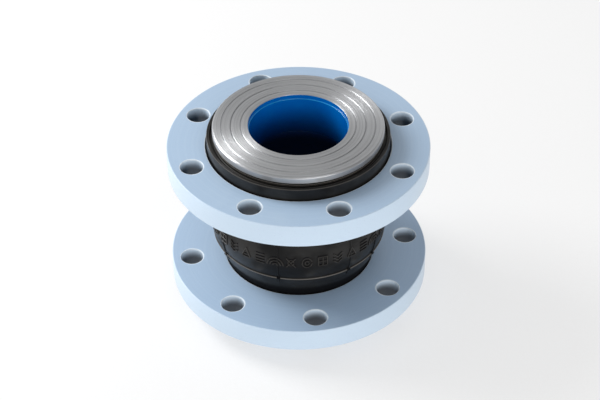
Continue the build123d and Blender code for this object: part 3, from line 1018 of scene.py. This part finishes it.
# ---- flanges ----
def face_loop(inner, outer, arc_steps, side_steps):
    """The edge of one bolt hole's share of a face, anticlockwise, around a hole on +X."""
    half = pi / JOINT.flange.bolts
    a = np.linspace(-half, half, arc_steps, endpoint=False)
    r = np.linspace(outer, inner, side_steps, endpoint=False)
    back = inner + outer - r
    parts = [(outer + 0 * a, a), (r, half + 0 * r), (inner + 0 * a, -a), (back, -half + 0 * r)]
    radius = np.concatenate([p[0] for p in parts])
    turn = np.concatenate([p[1] for p in parts])
    loop = np.stack([radius * np.cos(turn), radius * np.sin(turn)], axis=-1)
    return np.concatenate([loop, loop[:1]])


def quarter():
    """Shares along and across a rounded edge: 1 - sin and 1 - cos of a quarter turn."""
    a = np.linspace(0, pi / 2, CORNER_STEPS)
    return 1 - np.sin(a), 1 - np.cos(a)


def bolt_sector(top, bottom, top_inner, bottom_inner, outer, arc_steps):
    """One bolt hole with its share of both faces, as one grid from face edge to face edge.

    Rows run from the edge of the top face to the hole's mouth, down the wall and out over the
    bottom face; a point of a face is a blend of its place on the loop and on the mouth circle.
    """
    f = JOINT.flange
    side_steps = 14
    upper = face_loop(top_inner, outer, arc_steps, side_steps)
    lower = face_loop(bottom_inner, outer, arc_steps, side_steps)
    along, across = quarter()
    shares = np.array([1, 0.8, 0.6, 0.42, 0.28, 0.16, 0.08, 0.03])[:, None, None]
    way = unit(upper - (f.bolt_circle, 0))
    mouth = f.bolt_radius + f.bolt_edge * along
    wall = np.array([mouth, top - f.bolt_edge * across]).T
    support = [(f.bolt_radius, top + (bottom - top) * t) for t in (0.07, 0.5, 0.93)]
    floor = np.array([mouth, bottom + f.bolt_edge * across]).T[::-1]
    rim = np.concatenate([wall, support, floor])
    middle = np.array((f.bolt_circle, 0))
    hole = middle + rim[:, :1, None] * way[None]
    opened = middle + (f.bolt_radius + f.bolt_edge) * way
    up = shares * upper + (1 - shares) * opened
    down = (shares * lower + (1 - shares) * opened)[::-1]
    flat = np.concatenate([up, hole, down])
    heights = np.r_[np.full(len(up), top), rim[:, 1], np.full(len(down), bottom)]
    depth = np.broadcast_to(heights[:, None, None], flat.shape[:2] + (1,))
    points = np.concatenate([flat, depth], axis=-1)
    mask = np.zeros(len(points))
    mask[len(up):len(up) + len(wall)] = 1
    mask[-len(down) - len(floor):-len(down)] = 1
    return points, mask


def flange_patches(end):
    """A whole flange: a sector for each bolt, the rim and the stepped middle, all meeting."""
    f = JOINT.flange
    faces = at_end([(0, f.face), (0, f.back)], end)[:, 1]
    top, bottom = max(faces), min(faces)
    e = f.edge
    flat = 1.3 * e  # a rounded edge and a strip of the face beside it
    wide, narrow = f.recess + flat, f.bore + flat
    top_inner, bottom_inner = (wide, narrow) if end == "upper" else (narrow, wide)
    outer = f.radius - flat
    clock = f.upper_clock if end == "upper" else f.lower_clock
    arc_steps = 22
    grid, mask = bolt_sector(top, bottom, top_inner, bottom_inner, outer, arc_steps)
    pitch = 2 * pi / f.bolts
    patches = []
    for k in range(f.bolts):
        c, s = cos(clock + k * pitch), sin(clock + k * pitch)
        turned = grid @ np.array([(c, s, 0), (-s, c, 0), (0, 0, 1)])
        edge = np.broadcast_to(mask[:, None], grid.shape[:2])
        patches.append(Patch(turned, 4 * turned[..., 0], 4 * turned[..., 1], edge))
    along, across = quarter()
    corner = list(zip(f.radius - e * along, e * across))
    rim = [(outer, bottom)] + [(r, bottom + z) for r, z in corner]
    rim += [(r, top - z) for r, z in corner[::-1]] + [(outer, top)]
    steps = [(wide, f.face)] + list(zip(f.recess + e * along, f.face + e * across))
    steps += [(f.recess, heel(f.recess) + f.seat_gap), (f.bore, heel(f.bore) + f.seat_gap)]
    steps += list(zip(f.bore + e * along, f.back - e * across))[::-1] + [(narrow, f.back)]
    steps = at_end(steps, end)
    if end == "lower":
        steps = steps[::-1]
    angles = clock - pitch / 2 + np.arange(f.bolts * arc_steps + 1) * pitch / arc_steps
    bend = np.ones(CORNER_STEPS)
    patches.append(revolve(np.array(rim), np.r_[0, bend, bend, 0], angles))
    patches.append(revolve(steps, np.r_[0, bend, 0, 0, bend, 0], angles))
    return patches


# ---- operators ----
def both_ends(name, section, node, slot, finish, columns=256):
    """Turn a section as one piece for each end."""
    for end in ENDS:
        piece = put_mesh(f"{name}_{end}", [lathe(*rounded(at_end(section, end)), columns)])
        fit(piece, f"{end}_end", slot, finish, f"{end}_{node}")


class JOINT_OT_face_rings(bpy.types.Operator):
    """Turn the stainless face rings and the blue throat sleeves that they hold"""

    bl_idname = "expansion_joint.face_rings"
    bl_label = "Face rings and sleeves"

    def execute(self, context):
        both_ends("turned_ring", ring_section(), "face_ring", "stainless", turned_steel(), 320)
        coat = throat_coating()
        both_ends("blue_sleeve", sleeve_section(), "throat_sleeve", "blue_coating", coat, 224)
        return {"FINISHED"}


class JOINT_OT_collars(bpy.types.Operator):
    """Mould the washers under the face rings and the collars that hold the beads"""

    bl_idname = "expansion_joint.collars"
    bl_label = "Washers and collars"

    def execute(self, context):
        rubber = cover_rubber("washer_rubber", 0.5, 0.75, 0.25, 0.0)
        both_ends("washer", pad_section(), "seal_pad", "cover_rubber", rubber)
        rubber = cover_rubber("collar_rubber", 0.8, 0.35, 0.24, 0.0)
        both_ends("collar", collar_section(), "bead_cover", "cover_rubber", rubber)
        return {"FINISHED"}


class JOINT_OT_beads(bpy.types.Operator):
    """Lay the wire hoops, wind the tape and pack the filler inside both collars"""

    bl_idname = "expansion_joint.beads"
    bl_label = "Beads"

    def execute(self, context):
        wrap = (WRAP_HIGH.z - WRAP_LOW.z) / 2
        neck = boundaries()[-2][0]
        corners = [(neck, JOINT.wall.ply_end, 0)] + fold(neck)
        for end in ENDS:
            spot = core_spot(end)
            block = lathe(*rounded(at_end(corners, end)), TUBE_COLUMNS)
            tape = [hoop(spot, wrap), hoop(spot, wrap - JOINT.wall.tape, inward=True)]
            filler = [block, hoop(spot, wrap, inward=True)]
            for name, patches, slot, finish, node in (
                ("wire_bundle", turned_wires(end), "bead_wire", bead_wire(), "bead_core"),
                ("tape_wrap", tape, "bead_tape", bead_tape(), "bead_wrap"),
                ("filler", filler, "inner_rubber", inner_rubber(), "bead_filler"),
            ):
                piece = put_mesh(f"{name}_{end}", patches)
                fit(piece, f"{end}_end", slot, finish, f"{end}_{node}")
        return {"FINISHED"}


class JOINT_OT_wall(bpy.types.Operator):
    """Build the tube, the four cord plies and the middle rubber between them"""

    bl_idname = "expansion_joint.wall"
    bl_label = "Wall layers"

    def execute(self, context):
        wall_piece("tube_wall", tube_section(), "inner_rubber", bore_rubber(), "inner_tube")
        b = boundaries()
        middle = folded_layer(b[3], b[4])
        wall_piece("middle_wall", middle, "inner_rubber", inner_rubber(), "middle_rubber")
        for k, inside in enumerate((1, 2, 4, 5)):
            node = f"cord_ply_{k + 1}"
            section = folded_layer(b[inside], b[inside + 1])
            cord = cord_ply(node, 1 if k % 2 else -1)
            wall_piece(f"cord_layer_{k + 1}", section, "cord_fabric", cord, node)
        return {"FINISHED"}


class JOINT_OT_cover(bpy.types.Operator):
    """Mould the outer cover with its ridges, seams and band of raised marks"""

    bl_idname = "expansion_joint.cover"
    bl_label = "Outer cover"

    def execute(self, context):
        wall_piece("cover_skin", cover_section(), "cover_rubber", cover_rubber(), "outer_cover", 320)
        for name, patches, rubber in (
            ("cover_seams", seam_patches(), cover_rubber("seam_rubber", 0.1, 0.0)),
            ("cover_marks", mark_patches(), cover_rubber("mark_rubber", 0.1, 0.55)),
        ):
            piece = put_mesh(name, patches)
            fit(piece, "lower_end", "cover_rubber", rubber)
            follow_both_ends(piece)
        return {"FINISHED"}


class JOINT_OT_flanges(bpy.types.Operator):
    """Make both loose flanges with their bolt holes, recess and seat"""

    bl_idname = "expansion_joint.flanges"
    bl_label = "Flanges"

    def execute(self, context):
        for end in ENDS:
            plate = put_mesh(f"flange_plate_{end}", flange_patches(end))
            fit(plate, f"{end}_flange", "flange_coating", flange_coating(), f"{end}_flange")
        return {"FINISHED"}


def soft_room(low, high, right):
    """Room light: bright near the floor line, dimmer towards the ceiling and on the right."""
    room = Finish(bpy.data.worlds.new("soft_room"), "Background")
    way = room.coords.outputs["Generated"]
    rise = room.axis("Z", way).between(0.1, 0.75)
    side = room.axis("X", way).between(0.2, 0.9)
    strength = (low + (high - low) * rise) * (1 - (1 - right) * side)
    return room.done(Color=(1, 1, 1, 1), Strength=strength)


def around(azimuth, height, distance):
    """A place around the joint's middle: degrees from +X, degrees above level, metres away."""
    a, e = radians(azimuth), radians(height)
    return (distance * cos(e) * cos(a), distance * cos(e) * sin(a), distance * sin(e) + FACE_Z / 2)


def lamp(name, place, aim, size, power):
    """A soft oblong light that faces a point."""
    data = bpy.data.lights.new(name, "AREA")
    data.shape, data.size, data.size_y = "RECTANGLE", size[0], size[1]
    data.energy = power
    light = bpy.data.objects.new(name, data)
    light.location = place
    light.rotation_mode = "QUATERNION"
    light.rotation_quaternion = (Vector(aim) - Vector(place)).to_track_quat("-Z", "Y")
    light.visible_camera = False
    bpy.context.scene.collection.objects.link(light)


class JOINT_OT_stage(bpy.types.Operator):
    """Lay the pale floor, light the room softly and set the camera"""

    bl_idname = "expansion_joint.stage"
    bl_label = "Stage"

    def execute(self, context):
        s = JOINT.stage
        lines = np.linspace(-s.floor_half, s.floor_half, 9)
        x, y = np.meshgrid(lines, lines)
        flat = Patch(np.stack([x, y, 0 * x], axis=-1), x, y, 0 * x)
        floor = put_mesh("studio_floor", [flat])
        f = Finish("pale_floor")
        grain = f.noise(220, 2)
        base = f.blend(grain * 0.06, tuple(s.floor), (0.30, 0.30, 0.31))
        floor.data.materials.append(f.done(
            Base_Color=base, Roughness=0.75, Normal=f.bump(grain, 0.0001),
            Emission_Color=(1, 1, 1, 1), Emission_Strength=s.floor_glow,
        ))
        context.scene.world = soft_room(s.low_room, s.high_room, s.right_room)
        context.scene.view_settings.view_transform = "Standard"
        middle = (0, 0, FACE_Z / 2)
        lamp("key_light", around(157, 36, 1.6), middle, (0.8, 0.8), s.key)
        lamp("front_light", around(291, 14, 2.0), middle, (1.6, 0.6), s.fill)
        camera = bpy.data.objects.new("camera", bpy.data.cameras.new("camera"))
        context.scene.collection.objects.link(camera)
        sight = (Vector(s.aim) - Vector(s.camera)).to_track_quat("-Z", "Y")
        camera.location = s.camera
        camera.rotation_mode = "QUATERNION"
        camera.rotation_quaternion = sight @ Quaternion((0, 0, 1), s.roll)
        camera.data.lens = s.lens
        camera.data.clip_start, camera.data.clip_end = 0.05, 30
        context.scene.camera = camera
        return {"FINISHED"}


class JOINT_PT_build(bpy.types.Panel):
    """Lists the pieces of the joint in the order they are made"""

    bl_idname = "JOINT_PT_build"
    bl_label = "Rubber expansion joint"
    bl_space_type = "VIEW_3D"
    bl_region_type = "UI"
    bl_category = "Joint"

    def draw(self, context):
        for step in STEPS:
            self.layout.operator(step.bl_idname)


SETTINGS = {
    "joint_end": JointEndSizes,
    "joint_wall": JointWallSizes,
    "joint_flange": JointFlangeSizes,
    "joint_colours": JointColours,
    "joint_stage": JointStage,
}
STEPS = (
    JOINT_OT_face_rings,
    JOINT_OT_collars,
    JOINT_OT_beads,
    JOINT_OT_wall,
    JOINT_OT_cover,
    JOINT_OT_flanges,
    JOINT_OT_stage,
)


def register():
    for group in SETTINGS.values():
        bpy.utils.register_class(group)
    for step in STEPS + (JOINT_PT_build,):
        bpy.utils.register_class(step)
    for name, group in SETTINGS.items():
        setattr(bpy.types.Scene, name, PointerProperty(type=group))


def unregister():
    for name in SETTINGS:
        delattr(bpy.types.Scene, name)
    for step in reversed(STEPS + (JOINT_PT_build,)):
        bpy.utils.unregister_class(step)
    for group in reversed(list(SETTINGS.values())):
        bpy.utils.unregister_class(group)


def main():
    register()
    bpy.ops.expansion_joint.face_rings()
    bpy.ops.expansion_joint.collars()
    bpy.ops.expansion_joint.beads()
    bpy.ops.expansion_joint.wall()
    bpy.ops.expansion_joint.cover()
    bpy.ops.expansion_joint.flanges()
    bpy.ops.expansion_joint.stage()


if __name__ == "__main__":
    main()
